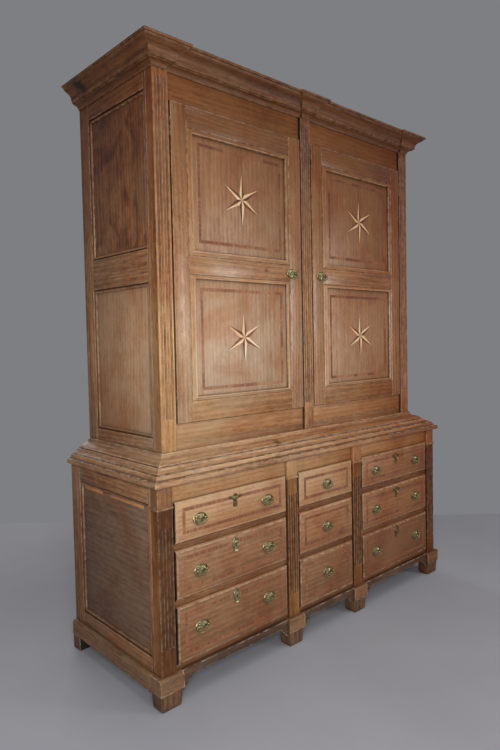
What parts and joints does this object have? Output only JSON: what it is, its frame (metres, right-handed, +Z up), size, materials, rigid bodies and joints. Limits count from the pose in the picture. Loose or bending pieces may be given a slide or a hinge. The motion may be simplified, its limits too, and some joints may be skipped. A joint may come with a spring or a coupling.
{
  "type": "press cupboard",
  "caption": "Oak press cupboard: panelled, star-inlaid doors over a base of drawers, with fluted pilasters, brass bail handles, stepped cornice, waist moulding and bracket-footed plinth",
  "frame": {"origin": "centre of the footprint at floor level", "axes": "+X to the right as seen from the front, +Y to the back, +Z up"},
  "size_m": [1.618, 0.6, 2.1001],
  "materials": {
    "oak_front": "waxed, worn",
    "oak_panel": "waxed, worn",
    "oak_side": "aged, darkened",
    "oak_moulding": "waxed, worn edges",
    "oak_inside": "dry, unpolished",
    "oak_drawer": "waxed, worn",
    "brass": "antique, dulled",
    "iron": "dark, dull"
  },
  "bodies": {
    "case": {"plinth": "oak_moulding", "base_left_frame": "oak_side", "base_left_panel": "oak_side", "base_right_frame": "oak_side", "base_right_panel": "oak_side", "left_partition": "oak_inside", "right_partition": "oak_inside", "base_face_frame": "oak_front", "base_back": "oak_inside", "base_top": "oak_inside", "waist_moulding": "oak_moulding", "press_left_frame": "oak_side", "press_left_lower_panel": "oak_side", "press_left_upper_panel": "oak_side", "press_right_frame": "oak_side", "press_right_lower_panel": "oak_side", "press_right_upper_panel": "oak_side", "press_face_frame": "oak_front", "press_back": "oak_inside", "press_top_board": "oak_inside", "press_bottom_board": "oak_inside", "shelf": "oak_inside", "cornice": "oak_moulding", "left_lower_hinge": "iron", "left_upper_hinge": "iron", "right_lower_hinge": "iron", "right_upper_hinge": "iron"},
    "left_door": {"left_door_frame": "oak_front", "left_door_lower_panel": "oak_panel", "left_door_upper_panel": "oak_panel"},
    "right_door": {"right_door_frame": "oak_front", "right_door_lower_panel": "oak_panel", "right_door_upper_panel": "oak_panel"},
    "left_bottom_drawer": {"left_bottom_drawer": "oak_drawer"},
    "left_middle_drawer": {"left_middle_drawer": "oak_drawer"},
    "left_top_drawer": {"left_top_drawer": "oak_drawer"},
    "centre_bottom_drawer": {"centre_bottom_drawer": "oak_drawer"},
    "centre_middle_drawer": {"centre_middle_drawer": "oak_drawer"},
    "centre_top_drawer": {"centre_top_drawer": "oak_drawer"},
    "right_bottom_drawer": {"right_bottom_drawer": "oak_drawer"},
    "right_middle_drawer": {"right_middle_drawer": "oak_drawer"},
    "right_top_drawer": {"right_top_drawer": "oak_drawer"},
    "left_door_bail": {"left_door_bail": "brass"},
    "right_door_bail": {"right_door_bail": "brass"},
    "left_bottom_drawer_left_bail": {"left_bottom_drawer_left_bail": "brass"},
    "left_bottom_drawer_right_bail": {"left_bottom_drawer_right_bail": "brass"},
    "left_middle_drawer_left_bail": {"left_middle_drawer_left_bail": "brass"},
    "left_middle_drawer_right_bail": {"left_middle_drawer_right_bail": "brass"},
    "left_top_drawer_left_bail": {"left_top_drawer_left_bail": "brass"},
    "left_top_drawer_right_bail": {"left_top_drawer_right_bail": "brass"},
    "centre_bottom_drawer_bail": {"centre_bottom_drawer_bail": "brass"},
    "centre_middle_drawer_bail": {"centre_middle_drawer_bail": "brass"},
    "centre_top_drawer_bail": {"centre_top_drawer_bail": "brass"},
    "right_bottom_drawer_left_bail": {"right_bottom_drawer_left_bail": "brass"},
    "right_bottom_drawer_right_bail": {"right_bottom_drawer_right_bail": "brass"},
    "right_middle_drawer_left_bail": {"right_middle_drawer_left_bail": "brass"},
    "right_middle_drawer_right_bail": {"right_middle_drawer_right_bail": "brass"},
    "right_top_drawer_left_bail": {"right_top_drawer_left_bail": "brass"},
    "right_top_drawer_right_bail": {"right_top_drawer_right_bail": "brass"}
  },
  "joints": [
    {"name": "left_door_hinge", "type": "hinge", "parent": "case", "child": "left_door", "pos_m": [-0.649, -0.195, 0.8777], "axis": [0, 0, -1], "range_deg": [0, 115]},
    {"name": "right_door_hinge", "type": "hinge", "parent": "case", "child": "right_door", "pos_m": [0.649, -0.195, 0.8777], "axis": [0, 0, 1], "range_deg": [0, 115]},
    {"name": "left_bottom_drawer_slide", "type": "slide", "parent": "case", "child": "left_bottom_drawer", "axis": [0, -1, 0], "range_m": [0, 0.4]},
    {"name": "left_middle_drawer_slide", "type": "slide", "parent": "case", "child": "left_middle_drawer", "axis": [0, -1, 0], "range_m": [0, 0.4]},
    {"name": "left_top_drawer_slide", "type": "slide", "parent": "case", "child": "left_top_drawer", "axis": [0, -1, 0], "range_m": [0, 0.4]},
    {"name": "centre_bottom_drawer_slide", "type": "slide", "parent": "case", "child": "centre_bottom_drawer", "axis": [0, -1, 0], "range_m": [0, 0.4]},
    {"name": "centre_middle_drawer_slide", "type": "slide", "parent": "case", "child": "centre_middle_drawer", "axis": [0, -1, 0], "range_m": [0, 0.4]},
    {"name": "centre_top_drawer_slide", "type": "slide", "parent": "case", "child": "centre_top_drawer", "axis": [0, -1, 0], "range_m": [0, 0.4]},
    {"name": "right_bottom_drawer_slide", "type": "slide", "parent": "case", "child": "right_bottom_drawer", "axis": [0, -1, 0], "range_m": [0, 0.4]},
    {"name": "right_middle_drawer_slide", "type": "slide", "parent": "case", "child": "right_middle_drawer", "axis": [0, -1, 0], "range_m": [0, 0.4]},
    {"name": "right_top_drawer_slide", "type": "slide", "parent": "case", "child": "right_top_drawer", "axis": [0, -1, 0], "range_m": [0, 0.4]},
    {"name": "left_door_bail_swing", "type": "hinge", "parent": "left_door", "child": "left_door_bail", "pos_m": [-0.0875, -0.2035, 1.40785], "axis": [-1, 0, 0], "range_deg": [0, 110]},
    {"name": "right_door_bail_swing", "type": "hinge", "parent": "right_door", "child": "right_door_bail", "pos_m": [0.0875, -0.2035, 1.40785], "axis": [-1, 0, 0], "range_deg": [0, 110]},
    {"name": "left_bottom_drawer_left_bail_swing", "type": "hinge", "parent": "left_bottom_drawer", "child": "left_bottom_drawer_left_bail", "pos_m": [-0.6305, -0.2895, 0.2228], "axis": [-1, 0, 0], "range_deg": [0, 110]},
    {"name": "left_bottom_drawer_right_bail_swing", "type": "hinge", "parent": "left_bottom_drawer", "child": "left_bottom_drawer_right_bail", "pos_m": [-0.326, -0.2895, 0.2228], "axis": [-1, 0, 0], "range_deg": [0, 110]},
    {"name": "left_middle_drawer_left_bail_swing", "type": "hinge", "parent": "left_middle_drawer", "child": "left_middle_drawer_left_bail", "pos_m": [-0.6305, -0.2895, 0.4073], "axis": [-1, 0, 0], "range_deg": [0, 110]},
    {"name": "left_middle_drawer_right_bail_swing", "type": "hinge", "parent": "left_middle_drawer", "child": "left_middle_drawer_right_bail", "pos_m": [-0.326, -0.2895, 0.4073], "axis": [-1, 0, 0], "range_deg": [0, 110]},
    {"name": "left_top_drawer_left_bail_swing", "type": "hinge", "parent": "left_top_drawer", "child": "left_top_drawer_left_bail", "pos_m": [-0.6305, -0.2895, 0.5778], "axis": [-1, 0, 0], "range_deg": [0, 110]},
    {"name": "left_top_drawer_right_bail_swing", "type": "hinge", "parent": "left_top_drawer", "child": "left_top_drawer_right_bail", "pos_m": [-0.326, -0.2895, 0.5778], "axis": [-1, 0, 0], "range_deg": [0, 110]},
    {"name": "centre_bottom_drawer_bail_swing", "type": "hinge", "parent": "centre_bottom_drawer", "child": "centre_bottom_drawer_bail", "pos_m": [0, -0.2895, 0.2228], "axis": [-1, 0, 0], "range_deg": [0, 110]},
    {"name": "centre_middle_drawer_bail_swing", "type": "hinge", "parent": "centre_middle_drawer", "child": "centre_middle_drawer_bail", "pos_m": [0, -0.2895, 0.4073], "axis": [-1, 0, 0], "range_deg": [0, 110]},
    {"name": "centre_top_drawer_bail_swing", "type": "hinge", "parent": "centre_top_drawer", "child": "centre_top_drawer_bail", "pos_m": [0, -0.2895, 0.5778], "axis": [-1, 0, 0], "range_deg": [0, 110]},
    {"name": "right_bottom_drawer_left_bail_swing", "type": "hinge", "parent": "right_bottom_drawer", "child": "right_bottom_drawer_left_bail", "pos_m": [0.326, -0.2895, 0.2228], "axis": [-1, 0, 0], "range_deg": [0, 110]},
    {"name": "right_bottom_drawer_right_bail_swing", "type": "hinge", "parent": "right_bottom_drawer", "child": "right_bottom_drawer_right_bail", "pos_m": [0.6305, -0.2895, 0.2228], "axis": [-1, 0, 0], "range_deg": [0, 110]},
    {"name": "right_middle_drawer_left_bail_swing", "type": "hinge", "parent": "right_middle_drawer", "child": "right_middle_drawer_left_bail", "pos_m": [0.326, -0.2895, 0.4073], "axis": [-1, 0, 0], "range_deg": [0, 110]},
    {"name": "right_middle_drawer_right_bail_swing", "type": "hinge", "parent": "right_middle_drawer", "child": "right_middle_drawer_right_bail", "pos_m": [0.6305, -0.2895, 0.4073], "axis": [-1, 0, 0], "range_deg": [0, 110]},
    {"name": "right_top_drawer_left_bail_swing", "type": "hinge", "parent": "right_top_drawer", "child": "right_top_drawer_left_bail", "pos_m": [0.326, -0.2895, 0.5778], "axis": [-1, 0, 0], "range_deg": [0, 110]},
    {"name": "right_top_drawer_right_bail_swing", "type": "hinge", "parent": "right_top_drawer", "child": "right_top_drawer_right_bail", "pos_m": [0.6305, -0.2895, 0.5778], "axis": [-1, 0, 0], "range_deg": [0, 110]}
  ]
}
